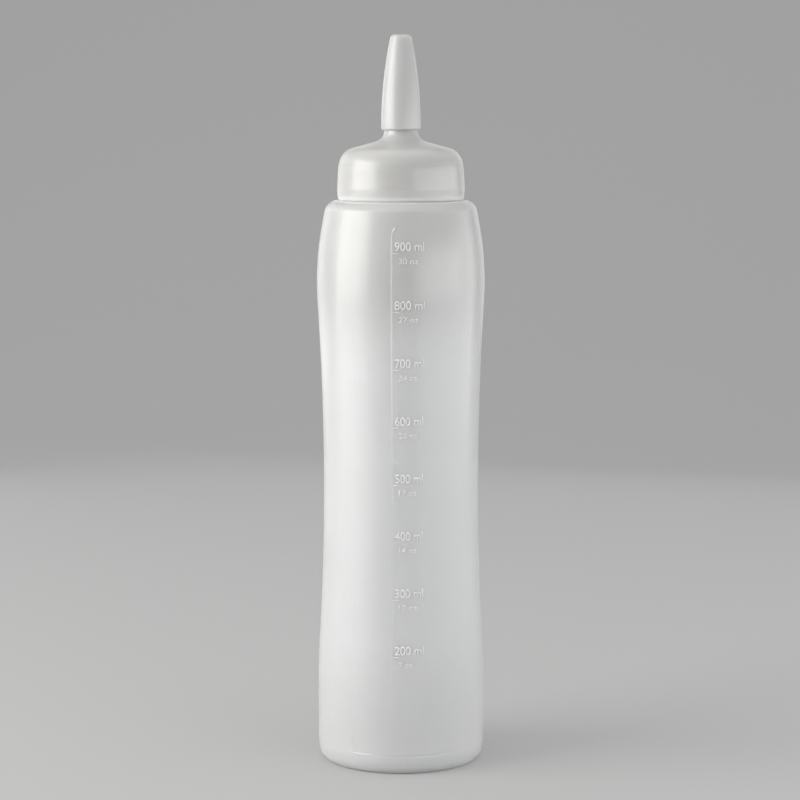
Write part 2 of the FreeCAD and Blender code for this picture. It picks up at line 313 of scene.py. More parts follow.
def rounded_top(start_radius, start_height, flat_radius, top, corner, offset, counts):
    """Long arc from an upright start, then a corner that runs out into a flat top.

    The long arc's radius is (inward^2 + rise^2 - corner^2) / (2 (inward - corner)).
    """
    inward = start_radius - flat_radius
    rise = top - corner - start_height
    long_arc = (inward ** 2 + rise ** 2 - corner ** 2) / (2 * (inward - corner))
    centre_radius = start_radius - long_arc
    turn = math.atan2(rise, flat_radius - centre_radius)
    return joined(
        arc((centre_radius, start_height), long_arc - offset, 0, turn, counts[0]),
        arc((flat_radius, top - corner), corner - offset, turn, math.pi / 2, counts[1]))


def body_wall(offset, fineness):
    """Heel, waisted wall and shoulder, from the foot's edge to the flat ring, offset inwards."""
    def count(number):
        return max(3, round(number * fineness))

    wall = BASE_RADIUS - offset
    angle = np.linspace(-math.pi / 2, 0, count(30))[:, None]
    heel = (np.array([BASE_RADIUS - HEEL_INSET, HEEL_HEIGHT])
            + np.concatenate([(HEEL_INSET - offset) * np.cos(angle),
                              (HEEL_HEIGHT - offset) * np.sin(angle)], axis=1))
    lower = hollow_curve(BASE_RADIUS, BASE_WALL_TOP, LOWER_HOLLOW / (LOWER_HOLLOW + LOWER_SWELL),
                         offset, (count(26), count(14)))
    upper = hollow_curve(BULGE_RADIUS, BULGE_HEIGHT, UPPER_HOLLOW / (UPPER_HOLLOW + UPPER_SWELL),
                         offset, (count(34), count(6)))
    shoulder = rounded_top(BULGE_RADIUS, BULGE_HEIGHT, RING_RADIUS, SHOULDER_HEIGHT,
                           SHOULDER_CORNER, offset, (count(24), count(16)))
    return joined(heel,
                  stretch((wall, HEEL_HEIGHT), (wall, HEEL_HEIGHT + HEEL_BAND), count(10)),
                  stretch((wall, HEEL_HEIGHT + HEEL_BAND), (wall, BASE_WALL_TOP), count(14)),
                  lower[::-1], upper, shoulder)


def body_floor(height, count):
    """Pushed-up base and the ring it stands on, from the axis outwards."""
    dome = blend((0, height + PUSH_UP), (FOOT_INSIDE / 2, height + PUSH_UP), (FOOT_INSIDE, height),
                 count)
    return joined(dome, stretch((FOOT_INSIDE, height), (FOOT_EDGE, height), 5))


def bottle_outline():
    """Once round the wall: base, outside, neck, rim, bore, inside, inner floor."""
    outside = body_wall(0, 1)
    inside = body_wall(BOTTLE_WALL, 0.5)
    rim = (NECK_RADIUS - RIM_ROUNDING, NECK_TOP - RIM_ROUNDING)
    ring_inside = SHOULDER_HEIGHT - BOTTLE_WALL
    neck_start = (NECK_RADIUS, SHOULDER_HEIGHT + NECK_PLAIN)
    return joined(
        body_floor(0, 14), outside,
        softened([(RING_RADIUS, SHOULDER_HEIGHT), (NECK_RADIUS, SHOULDER_HEIGHT), neck_start],
                 NECK_FILLET),
        stretch(neck_start, (NECK_RADIUS, rim[1]), 60),
        arc(rim, RIM_ROUNDING, 0, math.pi / 2, 5),
        softened([(rim[0], NECK_TOP), (NECK_BORE, NECK_TOP), (NECK_BORE, ring_inside),
                  (RING_RADIUS, ring_inside)], BORE_FILLET),
        inside[::-1], body_floor(BOTTLE_WALL, 10)[::-1])


def cap_top(start_radius, lean, cone_apex, nozzle_inset):
    """Crown, cone, flare and nozzle, with a blend at each place where straight stretches meet."""
    meet = (cone_apex - CONE_RISE * (start_radius + lean * SKIRT_TOP)) / (1 - CONE_RISE * lean)
    crown_corner = (start_radius - lean * (meet - SKIRT_TOP), meet)
    crown_end = (CROWN_EDGE, cone_apex - CONE_RISE * CROWN_EDGE)
    root = (NOZZLE_ROOT_RADIUS - nozzle_inset, NOZZLE_ROOT)
    tip = (NOZZLE_TIP_RADIUS - nozzle_inset, NOZZLE_TIP)
    meet = cone_apex - CONE_RISE * (root[0] + NOZZLE_LEAN * NOZZLE_ROOT)
    meet /= 1 - CONE_RISE * NOZZLE_LEAN
    flare_corner = (root[0] + NOZZLE_LEAN * (NOZZLE_ROOT - meet), meet)
    flare_start = (FLARE_EDGE, cone_apex - CONE_RISE * FLARE_EDGE)
    return joined(blend((start_radius, SKIRT_TOP), crown_corner, crown_end, 30),
                  stretch(crown_end, flare_start, 8),
                  blend(flare_start, flare_corner, root, 18),
                  stretch(root, tip, 20))


def cap_outline():
    """Once round the cap's wall: outside up to the tip, bore, inside with the seal ring."""
    widest = CAP_BOTTOM + CHAMFER_HEIGHT
    bottom = SHOULDER_HEIGHT + SEAT_GAP
    lower = (SKIRT_RADIUS - HEM_ROUNDING, bottom)
    hem = (SKIRT_RADIUS - HEM_INSET, widest)
    hem_top = (SKIRT_RADIUS, CAP_BOTTOM + HEM_HEIGHT)
    skirt_top = (SKIRT_RADIUS - SKIRT_LEAN * (SKIRT_TOP - widest), SKIRT_TOP)
    outside = cap_top(skirt_top[0], SKIRT_LEAN, CONE_APEX, 0)
    apex_inside = CONE_APEX - CROWN_WALL / math.cos(math.radians(CONE_SLOPE))
    inside = cap_top(CAP_BORE, 0, apex_inside, NOZZLE_WALL)[::-1]
    seal_inside = NECK_BORE - SEAL_OVERHANG
    seal_outside = seal_inside + SEAL_WIDTH
    above = inside[1:][inside[1:, 0] < seal_inside]
    beside = inside[inside[:, 0] > seal_outside]
    return joined(
        blend(lower, (hem[0] - HEM_FULLNESS, bottom + CHAMFER_HEIGHT / 3), hem, 12),
        softened([hem, hem_top, skirt_top], HEM_FILLET, 7),
        outside[:-1],
        softened([outside[-1], (NOZZLE_TIP_RADIUS - NOZZLE_WALL, NOZZLE_TIP), inside[1]],
                 TIP_FILLET),
        above,
        softened([above[-1], (seal_inside, NECK_TOP), (seal_outside, NECK_TOP), beside[0]],
                 TIP_FILLET),
        beside,
        stretch((CAP_BORE, SKIRT_TOP), (CAP_BORE, bottom), 50),
        stretch((CAP_BORE, bottom), lower, 3))[:-1]


def cover_outline():
    """Round the cover's wall, from the middle of its top to the middle of its ceiling."""
    straight_top = COVER_BOTTOM + COVER_STRAIGHT
    flat = NOZZLE_TIP_RADIUS + TIP_CLEARANCE
    outer = rounded_top(COVER_RADIUS, straight_top, flat, COVER_TOP, COVER_CORNER, 0, (40, 14))
    inner = rounded_top(COVER_RADIUS, straight_top, flat, COVER_TOP, COVER_CORNER, COVER_WALL,
                        (24, 8))
    edge = (COVER_RADIUS - COVER_EDGE, COVER_BOTTOM + COVER_EDGE)
    return joined(
        stretch((0, COVER_TOP), (flat, COVER_TOP), 6), outer[::-1],
        stretch((COVER_RADIUS, straight_top), (COVER_RADIUS, edge[1]), 5),
        arc(edge, COVER_EDGE, 0, -math.pi / 2, 10),
        stretch((edge[0], COVER_BOTTOM), (COVER_BORE, COVER_BOTTOM), 2),
        stretch((COVER_BORE, COVER_BOTTOM), (COVER_BORE, straight_top), 5),
        inner, stretch((flat, NOZZLE_TIP), (0, NOZZLE_TIP), 5))[::-1]


# ---- small forms added to the distance from the axis -----------------------------------------
def step(value, low, high):
    """0 below low and 1 above high, with the smooth rise t^2 (3 - 2t) between them."""
    t = np.clip((value - low) / (high - low), 0, 1)
    return t * t * (3 - 2 * t)


def ridge(distance, width):
    """Rounded ridge of height 1: (1 - (2 d / width)^2)^2 within its width, and 0 outside."""
    return np.clip(1 - (2 * distance / width) ** 2, 0, 1) ** 2


def bump(value, middle, spread):
    """Bell of height 1: e to the power -((value - middle) / spread)^2."""
    return np.exp(-((value - middle) / spread) ** 2)


def turn_from(middle, angle):
    """Turn from the middle to each angle, the short way round: between -pi and pi."""
    return np.mod(angle - middle + math.pi, 2 * math.pi) - math.pi


def thread_form(angle, height, start):
    """Helical ridge with slanting flanks: at each angle, height above the nearest turn's middle.

    It rises from the wall over its first part of a turn, and runs out over its last.
    """
    turn = angle / (2 * math.pi)
    along = np.round((height - start) / THREAD_PITCH - turn) + turn
    across = np.abs(height - start - along * THREAD_PITCH)
    flank = np.clip((THREAD_ROOT / 2 - across) / ((THREAD_ROOT - THREAD_CREST) / 2), 0, 1)
    ends = (step(along, 0, THREAD_RUN_OUT)
            * (1 - step(along, THREAD_TURNS - THREAD_RUN_OUT, THREAD_TURNS)))
    return THREAD_HEIGHT * flank * ends


def wall_inset(angle, height):
    """How far the blown wall lies inside the true turned form, never less than 0.

    A broad hollow at the front, plus a sum of slow waves round and up the wall. It fades out
    at the heel and at the shoulder's ring.
    """
    front = FRONT_INSET * bump(angle, 0, FRONT_SPREAD)
    waves = sum(share * np.sin(number * angle + height / rise + start)
                for share, number, rise, start in WAVES)
    top = SHOULDER_HEIGHT - WAVES_END
    fade = step(height, WAVES_BOTTOM, WAVES_FULL) * (1 - step(height, top - WAVES_FADE, top))
    return (front + WAVINESS * (1 + waves)) * fade


def body_milk_and_painted_light(height):
    """Whiteness of the blown wall: less where it is thin, with painted shade there and above the
    heel, and painted light at the ring and the foot.
    """
    # the thinner upper wall with painted shade, and painted shade above the heel
    thin = (THIN_WALL_AND_PAINTED_SHADE * step(height, THIN_BOTTOM, BULGE_HEIGHT + THIN_TOP_ABOVE_BULGE)
            + HEEL_PAINTED_SHADE * (1 - step(height, HEEL_HEIGHT, HEEL_HEIGHT + HEEL_SHADE_REACH)))
    # painted light at the shoulder's ring and on the heel's underside
    painted_light = ((RING_PAINTED_LIGHT + THIN_WALL_AND_PAINTED_SHADE) * step(height, SHOULDER_HEIGHT - RING_DEPTH, SHOULDER_HEIGHT)
             + FOOT_PAINTED_LIGHT * (1 - step(height, FOOT_GAIN_BOTTOM, HEEL_HEIGHT)))
    return 1 - thin + painted_light


def mark_milk_and_painted_light(height):
    """Whiteness of the raised marks, thicker than the wall: a share of its painted light and shade.
    """
    return 1 - MARK_TONE_SHARE * (1 - body_milk_and_painted_light(height))


def cap_milk_and_painted_light(height):
    """Whiteness of the cap: painted light in its hem and more at its edge, painted shade
    over the neck's rim.
    """
    hem_top = CAP_BOTTOM + HEM_HEIGHT
    # painted light in the hem, most at its lower edge, and painted shade over the neck's rim
    hem = 1 - step(height, hem_top - HEM_BLEND, hem_top)
    edge = 1 - step(height, CAP_BOTTOM, CAP_BOTTOM + CHAMFER_HEIGHT)
    rim = ridge(height - NECK_TOP + RIM_DEPTH, RIM_WIDTH)
    return 1 + HEM_PAINTED_LIGHT * hem + EDGE_PAINTED_LIGHT * edge - RIM_PAINTED_SHADE * rim


def wall_ridges(angle, height):
    """What stands out from the blown wall: parting line, pinched foot, scale line, heel crease.

    Each is a ridge across its line, times how tall it is at that height or angle.
    """
    radius = BASE_RADIUS
    pinch = (step(height, HEEL_HEIGHT - PINCH_RISE / 3, HEEL_HEIGHT + 2 * PINCH_RISE / 3)
             * (1 - step(height, PINCH_TOP - PINCH_FADE, PINCH_TOP)))
    tall = PARTING_HEIGHT + (PINCH_HEIGHT - PARTING_HEIGHT) * pinch
    made = 0
    for parting in (PARTING_ANGLE, PARTING_ANGLE + math.pi):
        across = turn_from(parting, angle) * radius
        made = made + tall * ridge(across, PARTING_WIDTH * (1 + PINCH_WIDENING * pinch))
    share = LINE_LOW_SHARE + (1 - LINE_LOW_SHARE) * step(height, LINE_FULL_BOTTOM, LINE_FULL_TOP)
    line = (LINE_HEIGHT * share * step(height, LINE_BOTTOM, LINE_BOTTOM + LINE_FADE)
            * (1 - step(height, LINE_TOP - LINE_TOP_FADE, LINE_TOP)))
    made = made + line * ridge(angle * radius - LINE_PLACE, LINE_WIDTH)
    around = CREASE_EVEN + GROOVE[0] * bump(angle, *GROOVE[1:]) - LIP[0] * bump(angle, *LIP[1:])
    made = made - CREASE_DEPTH * around * ridge(height - HEEL_HEIGHT, CREASE_WIDTH)
    top = SHOULDER_HEIGHT - RIDGES_END
    fade = step(height, RIDGES_BOTTOM, RIDGES_FULL) * (1 - step(height, top - RIDGES_FADE, top))
    return made * fade


# ---- surfaces --------------------------------------------------------------------------------
def angles_with(count, lines=()):
    """Even angles all the way round, with closer ones in place of those near each upright line."""
    even = np.arange(count) * 2 * math.pi / count - math.pi
    reach = FINE_REACH / BASE_RADIUS
    made = []
    for line in lines:
        even = even[np.abs(turn_from(line, even)) > reach * FINE_CLEARANCE]
        made.append(line + np.linspace(-reach, reach, FINE_COUNT))
    return np.sort(turn_from(0, np.concatenate([even, *made])))


def tube_faces(index):
    """Faces with four corners between each row of vertices and the next, closed round each row."""
    following = np.roll(index, -1, axis=1)
    faces = np.stack([index[:-1], following[:-1], following[1:], index[1:]], axis=-1)
    return faces.reshape(-1, 4).tolist()


def turned(name, outline, angles, form=None, loop=False, milk_and_painted_light=None):
    """Surface of (place on the outline, angle): (r sin a, -r cos a, h), r being the outline's
    distance plus form(a, place). An outline that starts and ends on the axis gets one vertex
    there, and a loop joins its last place to its first.
    """
    inner = outline if loop else outline[1:-1]
    angle, distance = np.meshgrid(angles, inner[:, 0])
    height = np.repeat(inner[:, 1:], len(angles), axis=1)
    if form is not None:
        distance = distance + form(angle, height, distance)
    points = np.stack([distance * np.sin(angle), -distance * np.cos(angle), height], axis=-1)
    points = points.reshape(-1, 3)
    index = np.arange(angle.size).reshape(angle.shape)
    if loop:
        index = np.concatenate([index, index[:1]])
    faces = tube_faces(index)
    if not loop:
        first_pole = len(points)
        points = np.concatenate([points, [(0, 0, outline[0, 1]), (0, 0, outline[-1, 1])]])
        faces += [(first_pole, b, a) for a, b in zip(index[0], np.roll(index[0], -1))]
        faces += [(first_pole + 1, a, b) for a, b in zip(index[-1], np.roll(index[-1], -1))]
    return piece(name, points, faces, milk_and_painted_light=milk_and_painted_light)


def placed(name, data, place=(0, 0, 0), turn=(0, 0, 0)):
    """New object in the scene, at a place in metres and turned by angles about X, Y and Z."""
    made = bpy.data.objects.new(name, data)
    made.location = place
    made.rotation_euler = turn
    bpy.context.scene.collection.objects.link(made)
    return made


def piece(name, points, faces, sharp=40, milk_and_painted_light=None):
    """Object at the origin from points in millimetres, smooth but for edges over sharp degrees.

    Where milk_and_painted_light is given, the function's value at each point's height, the
    whiteness with its painted light and shade, is its attribute "milk_and_painted_light".
    """
    mesh = bpy.data.meshes.new(name)
    mesh.from_pydata((np.asarray(points) * MM).tolist(), [], faces)
    mesh.validate()
    mesh.shade_smooth()
    mesh.set_sharp_from_angle(angle=math.radians(sharp))
    if milk_and_painted_light is not None:
        held = mesh.attributes.new("milk_and_painted_light", "FLOAT", "POINT")
        held.data.foreach_set("value", milk_and_painted_light(np.asarray(points)[:, 2]))
    return placed(name, mesh)


def make_bottle():
    """Blown body and threaded neck. The inner wall follows the outer wall's unevenness."""
    outline = bottle_outline()

    def form(angle, height, distance):
        outer_row = np.zeros(distance.shape[0], bool)
        outer_row[:int(np.argmax(height[:, 0]))] = True
        outside = outer_row[:, None] & (distance > FOOT_EDGE + FOOT_MARGIN)
        inside = (~outer_row[:, None] & (distance > NECK_BORE + BORE_MARGIN)
                  & (height > BOTTLE_WALL + FOOT_MARGIN))
        body = (height < SHOULDER_HEIGHT - RING_MARGIN) & (outside | inside)
        neck = outer_row[:, None] & (height > SHOULDER_HEIGHT + NECK_PLAIN)
        made = np.where(body, -wall_inset(angle, height), 0)
        made = made + np.where(body & outside, wall_ridges(angle, height), 0)
        thread = thread_form(angle, height, SHOULDER_HEIGHT + THREAD_START)
        return made + np.where(neck, thread, 0)

    lines = (PARTING_ANGLE, PARTING_ANGLE + math.pi, LINE_PLACE / BASE_RADIUS)
    angles = angles_with(BODY_ANGLES, lines)
    return turned("bottle_body", outline, angles, form, milk_and_painted_light=body_milk_and_painted_light)


def make_cap():
    """Screw cap and nozzle, with the thread inside the skirt."""
    def form(angle, height, distance):
        bore = np.abs(distance - CAP_BORE) < ON_BORE
        bore = bore & (height < SKIRT_TOP) & (height > CAP_BOTTOM)
        start = SHOULDER_HEIGHT + THREAD_START + THREAD_PITCH / 2
        return -np.where(bore, thread_form(angle, height, start), 0)

    return turned("screw_cap", cap_outline(), angles_with(CAP_ANGLES), form, loop=True,
                  milk_and_painted_light=cap_milk_and_painted_light)


def make_cover():
    """Tapered cover over the nozzle."""
    return turned("nozzle_cover", cover_outline(), angles_with(COVER_ANGLES))


# ---- raised scale ----------------------------------------------------------------------------
WALL = body_wall(0, 1)


def on_wall(across, up, out):
    """Places on the bottle's outer wall: across is measured round it, out is away from it."""
    radius = np.interp(up, WALL[:, 1], WALL[:, 0])
    angle = across / BASE_RADIUS
    radius = radius - wall_inset(angle, up) + out
    return np.stack([radius * np.sin(angle), -radius * np.cos(angle), up], axis=-1)


def lettering(text, left, middle, width, height):
    """Raised figures: flat closed letters, scaled to their width and height, laid on the wall."""
    curve = bpy.data.curves.new("figures", "FONT")
    curve.body = text
    curve.size = 1
    curve.extrude = LETTER_DEPTH
    curve.bevel_depth = LETTER_BEVEL
    curve.bevel_resolution = 1
    curve.offset = -LETTER_THINNING
    holder = placed("figures", curve)
    bpy.context.view_layer.update()
    mesh = bpy.data.meshes.new_from_object(holder.evaluated_get(
        bpy.context.evaluated_depsgraph_get()))
    work = bmesh.new()
    work.from_mesh(mesh)
    bmesh.ops.remove_doubles(work, verts=work.verts, dist=1e-5)
    bmesh.ops.dissolve_degenerate(work, edges=work.edges, dist=1e-6)
    bmesh.ops.recalc_face_normals(work, faces=work.faces)
    flat = np.array([vertex.co for vertex in work.verts])
    faces = [[vertex.index for vertex in face.verts] for face in work.faces]
    work.free()
    bpy.data.objects.remove(holder)
    low, high = flat.min(0), flat.max(0)
    share = (flat - low) / (high - low)
    return on_wall(left + width * share[:, 0], middle + height * (share[:, 1] - 0.5),
                   (RELIEF + RELIEF_ROOT) * share[:, 2] - RELIEF_ROOT), faces


def bar(left, right, low_left, low_right, width):
    """Rounded bar laid on the wall: s runs along it, a round its half-oval section.

    Towards both ends the section shrinks by the root of 1 - (2s - 1)^8.
    """
    along = np.linspace(0, 1, BAR_PLACES)
    around = np.linspace(0, 2 * math.pi, BAR_CORNERS + 1)[:-1]
    s, a = np.meshgrid(along, around, indexing="ij")
    ends = np.sqrt(np.clip(1 - (2 * s - 1) ** BAR_BLUNTNESS, BAR_END, 1))
    across = left + (right - left) * s
    up = low_left + (low_right - low_left) * s + width / 2 * np.cos(a) * ends
    out = np.where(np.sin(a) > 0, RELIEF, RELIEF_ROOT) * np.sin(a) * ends
    points = on_wall(across, up, out).reshape(-1, 3)
    index = np.arange(s.size).reshape(s.shape)
    return points, tube_faces(index) + [index[0][::-1].tolist(), index[-1].tolist()]


def make_scale():
    """Numbers, ounces and ticks of the filling scale, joined into one piece."""
    made = []
    for row, (millilitres, ounces) in enumerate(SCALE_LABELS):
        middle = SCALE_TOP - row * SCALE_STEP
        made.append(lettering("%d ml" % millilitres, NUMBER_LEFT, middle, NUMBER_WIDTH,
                              NUMBER_HEIGHT))
        share = ONE_DIGIT_SHARE if ounces < 10 else 1
        made.append(lettering("%d oz" % ounces, OUNCE_LEFT, middle - OUNCE_DROP,
                              OUNCE_WIDTH * share, OUNCE_HEIGHT))
        tick = middle - TICK_DROP
        made.append(bar(LINE_PLACE, LINE_PLACE + TICK_LENGTH, tick, tick, TICK_WIDTH))
    made.append(bar(LINE_PLACE, LINE_PLACE + HOOK_LENGTH, LINE_TOP - HOOK_DROP,
                    LINE_TOP + HOOK_RISE, LINE_WIDTH))
    points, faces, count = [], [], 0
    for part_points, part_faces in made:
        points.append(part_points)
        faces += [[vertex + count for vertex in face] for face in part_faces]
        count += len(part_points)
    return piece("scale_marks", np.concatenate(points), faces, sharp=50, milk_and_painted_light=mark_milk_and_painted_light)


# ---- shading ---------------------------------------------------------------------------------
def add(tree, kind, place, **values):
    """New node at a place in the tree, with its settings, and inputs given by name or number."""
    node = tree.nodes.new(kind)
    node.location = place
    inputs = values.pop("inputs", {})
    for name, value in values.items():
        setattr(node, name, value)
    for name, value in inputs.items():
        node.inputs[name].default_value = value
    return node


def moulded_surface():
    """Group: frosted moulded plastic. Clouds in the colour, slow change of gloss, frosted skin.

    Clouds and streaks are mixed into one pattern, the streaks being noise drawn out along the
    height. It runs from Shade to Colour, then times Milk And Painted Light, the whiteness with
    its painted light and shade, and from Gloss Low to Gloss High.
    """
    tree = bpy.data.node_groups.new("moulded_surface", "ShaderNodeTree")
    for name, kind, value in (("Colour", "NodeSocketColor", (0.8, 0.8, 0.8, 1)),
                              ("Shade", "NodeSocketColor", (0.7, 0.7, 0.7, 1)),
                              ("Milk And Painted Light", "NodeSocketFloat", 1.0),
                              ("Cloud Size", "NodeSocketFloat", 30.0),
                              ("Streak", "NodeSocketFloat", 0.2),
                              ("Gloss Low", "NodeSocketFloat", 0.42),
                              ("Gloss High", "NodeSocketFloat", 0.5),
                              ("Frost Size", "NodeSocketFloat", 1800.0)):
        socket = tree.interface.new_socket(name, in_out="INPUT", socket_type=kind)
        socket.default_value = value
    for name, kind in (("Colour", "NodeSocketColor"), ("Roughness", "NodeSocketFloat"),
                       ("Coat", "NodeSocketFloat"), ("Height", "NodeSocketFloat")):
        tree.interface.new_socket(name, in_out="OUTPUT", socket_type=kind)
    link = tree.links.new
    given = add(tree, "NodeGroupInput", (-900, 0))
    result = add(tree, "NodeGroupOutput", (700, 0))
    place = add(tree, "ShaderNodeTexCoord", (-900, -300))
    clouds = add(tree, "ShaderNodeTexNoise", (-500, 200), inputs={"Detail": 3.0, "Roughness": 0.5})
    link(place.outputs["Object"], clouds.inputs["Vector"])
    link(given.outputs["Cloud Size"], clouds.inputs["Scale"])
    upright = add(tree, "ShaderNodeMapping", (-700, -100), inputs={"Scale": (1, 1, 0.08)})
    link(place.outputs["Object"], upright.inputs["Vector"])
    streaks = add(tree, "ShaderNodeTexNoise", (-500, -100),
                  inputs={"Scale": 260.0, "Detail": 3.0, "Roughness": 0.55})
    link(upright.outputs["Vector"], streaks.inputs["Vector"])
    both = add(tree, "ShaderNodeMix", (-200, 100), data_type="FLOAT")
    link(given.outputs["Streak"], both.inputs["Factor"])
    link(clouds.outputs["Fac"], both.inputs["A"])
    link(streaks.outputs["Fac"], both.inputs["B"])
    depth = add(tree, "ShaderNodeMapRange", (0, 150),
                inputs={"From Min": 0.3, "From Max": 0.7})
    link(both.outputs["Result"], depth.inputs["Value"])
    tint = add(tree, "ShaderNodeMix", (200, 200), data_type="RGBA")
    link(depth.outputs["Result"], tint.inputs["Factor"])
    link(given.outputs["Shade"], tint.inputs["A"])
    link(given.outputs["Colour"], tint.inputs["B"])
    milk_and_painted_light = add(tree, "ShaderNodeVectorMath", (400, 200), operation="SCALE")
    link(tint.outputs["Result"], milk_and_painted_light.inputs[0])
    link(given.outputs["Milk And Painted Light"], milk_and_painted_light.inputs["Scale"])
    link(milk_and_painted_light.outputs["Vector"], result.inputs["Colour"])
    coat = add(tree, "ShaderNodeMapRange", (400, 400),
               inputs={"From Min": 1.0, "From Max": 1.05, "To Min": 0.8, "To Max": 0.2})
    link(given.outputs["Milk And Painted Light"], coat.inputs["Value"])
    link(coat.outputs["Result"], result.inputs["Coat"])
    gloss = add(tree, "ShaderNodeMapRange", (200, 0), inputs={"From Min": 0.25, "From Max": 0.75})
    link(both.outputs["Result"], gloss.inputs["Value"])
    link(given.outputs["Gloss Low"], gloss.inputs["To Min"])
    link(given.outputs["Gloss High"], gloss.inputs["To Max"])
    link(gloss.outputs["Result"], result.inputs["Roughness"])
    frost = add(tree, "ShaderNodeTexNoise", (-500, -400), inputs={"Detail": 2.0})
    link(place.outputs["Object"], frost.inputs["Vector"])
    link(given.outputs["Frost Size"], frost.inputs["Scale"])
    skin = add(tree, "ShaderNodeMix", (200, -300), data_type="FLOAT", inputs={"Factor": 0.12})
    link(both.outputs["Result"], skin.inputs["A"])
    link(frost.outputs["Fac"], skin.inputs["B"])
    link(skin.outputs["Result"], result.inputs["Height"])
    return tree


def plastic(name, values, bump_strength, uses_milk_and_painted_light, shader):
    """Frosted plastic: the shared surface group, with its values, into one Principled shader.

    A piece that uses_milk_and_painted_light reads how white its wall is, with painted light and
    shade, from its attribute "milk_and_painted_light", and is glossier where it is no whiter
    than the plain wall.
    """
    material = bpy.data.materials.new(name)
    material.use_nodes = True
    tree = material.node_tree
    tree.nodes.clear()
    link = tree.links.new
    output = add(tree, "ShaderNodeOutputMaterial", (500, 0))
    body = add(tree, "ShaderNodeBsdfPrincipled", (200, 0), inputs=shader)
    group = add(tree, "ShaderNodeGroup", (-300, 0), node_tree=SURFACE)
    for socket, value in values.items():
        group.inputs[socket].default_value = value
    if uses_milk_and_painted_light:
        # whiteness of the wall with its painted light and shade, from the mesh
        milk_and_painted_light = add(tree, "ShaderNodeAttribute", (-600, 0), attribute_name="milk_and_painted_light")
        link(milk_and_painted_light.outputs["Fac"], group.inputs["Milk And Painted Light"])
        link(group.outputs["Coat"], body.inputs["Coat Weight"])
    bumps = add(tree, "ShaderNodeBump", (0, -250),
                inputs={"Strength": bump_strength, "Distance": 0.0004})
    link(group.outputs["Colour"], body.inputs["Base Color"])
    link(group.outputs["Roughness"], body.inputs["Roughness"])
    link(group.outputs["Height"], bumps.inputs["Height"])
    link(bumps.outputs["Normal"], body.inputs["Normal"])
    link(body.outputs["BSDF"], output.inputs["Surface"])
    return material


def paper(name, seen, glow, lighting):
    """Matt stage paper: a plain grey, with a little glow that evens it out, as it is seen, and a
    deeper grey without glow in the light that it throws back.
    """
    material = bpy.data.materials.new(name)
    material.use_nodes = True
    tree = material.node_tree
    link = tree.links.new
    shader = tree.nodes["Principled BSDF"]
    shader.inputs["Roughness"].default_value = 0.9
    shader.inputs["Emission Strength"].default_value = 1
    path = add(tree, "ShaderNodeLightPath", (-600, 0))
    for socket, shown, thrown in (("Base Color", seen, lighting), ("Emission Color", glow, 0)):
        tone = add(tree, "ShaderNodeMix", (-300, 0), data_type="RGBA")
        tone.inputs["A"].default_value = (shown, shown, shown, 1)
        tone.inputs["B"].default_value = (thrown, thrown, thrown, 1)
        link(path.outputs["Is Diffuse Ray"], tone.inputs["Factor"])
        link(tone.outputs["Result"], shader.inputs[socket])
    return material


# ---- stage, lights and camera ----------------------------------------------------------------
def make_stage():
    """Pale floor that curves up into the backdrop: an outline along Y carried across X."""
    floor_front, floor_back = -3.5, 0.9
    rise_radius, top, half_width = 1.5, 2.6, 6.0
    outline = joined(stretch((floor_front, 0), (floor_back, 0), 12),
                     arc((floor_back, rise_radius), rise_radius, -math.pi / 2, 0, 24),
                     stretch((floor_back + rise_radius, rise_radius),
                             (floor_back + rise_radius, top), 8))
    across = np.array([-half_width, half_width])
    points = np.stack([np.tile(across, len(outline)),
                       np.repeat(outline[:, 0], 2), np.repeat(outline[:, 1], 2)], axis=-1) / MM
    first = np.arange(len(outline) - 1)[:, None] * 2
    faces = (first + np.array([[0, 1, 3, 2]])).tolist()
    floor = piece("floor", points, faces, sharp=60)
    floor.data.materials.append(paper("floor_paper", seen=0.3, glow=0.14, lighting=0.2))


def soft_light(name, bearing, distance, low, high, width, strength, colour=(1, 1, 1)):
    """Upright rectangular soft light that faces the Z axis.

    Its bearing is in degrees from the front towards +X, and its power is
    pi x area x strength, so that its face shines with that strength.
    """
    lamp = bpy.data.lights.new(name, "AREA")
    lamp.shape = "RECTANGLE"
    lamp.size, lamp.size_y = width, high - low
    lamp.energy = math.pi * lamp.size * lamp.size_y * strength
    lamp.color = colour
    turn = math.radians(bearing)
    middle = (distance * math.sin(turn), -distance * math.cos(turn), (low + high) / 2)
    placed(name, lamp, middle, (math.pi / 2, 0, turn))


def top_light(size, height, strength):
    """Square soft light that faces down, with the power pi x area x strength."""
    lamp = bpy.data.lights.new("top_light", "AREA")
    lamp.size = size
    lamp.energy = math.pi * size ** 2 * strength
    placed("top_light", lamp, (0, 0, height))


def make_room(strength, seen):
    """Even white light from all round, seen by the camera as a plain grey like the backdrop's."""
    world = bpy.data.worlds.new("room")
    world.use_nodes = True
    tree = world.node_tree
    background = tree.nodes["Background"]
    background.inputs["Color"].default_value = (1, 1, 1, 1)
    path = add(tree, "ShaderNodeLightPath", (-600, 0))
    level = add(tree, "ShaderNodeMix", (-300, 0), data_type="FLOAT",
                inputs={"A": strength, "B": seen})
    tree.links.new(path.outputs["Is Camera Ray"], level.inputs["Factor"])
    tree.links.new(level.outputs["Result"], background.inputs["Strength"])
    bpy.context.scene.world = world


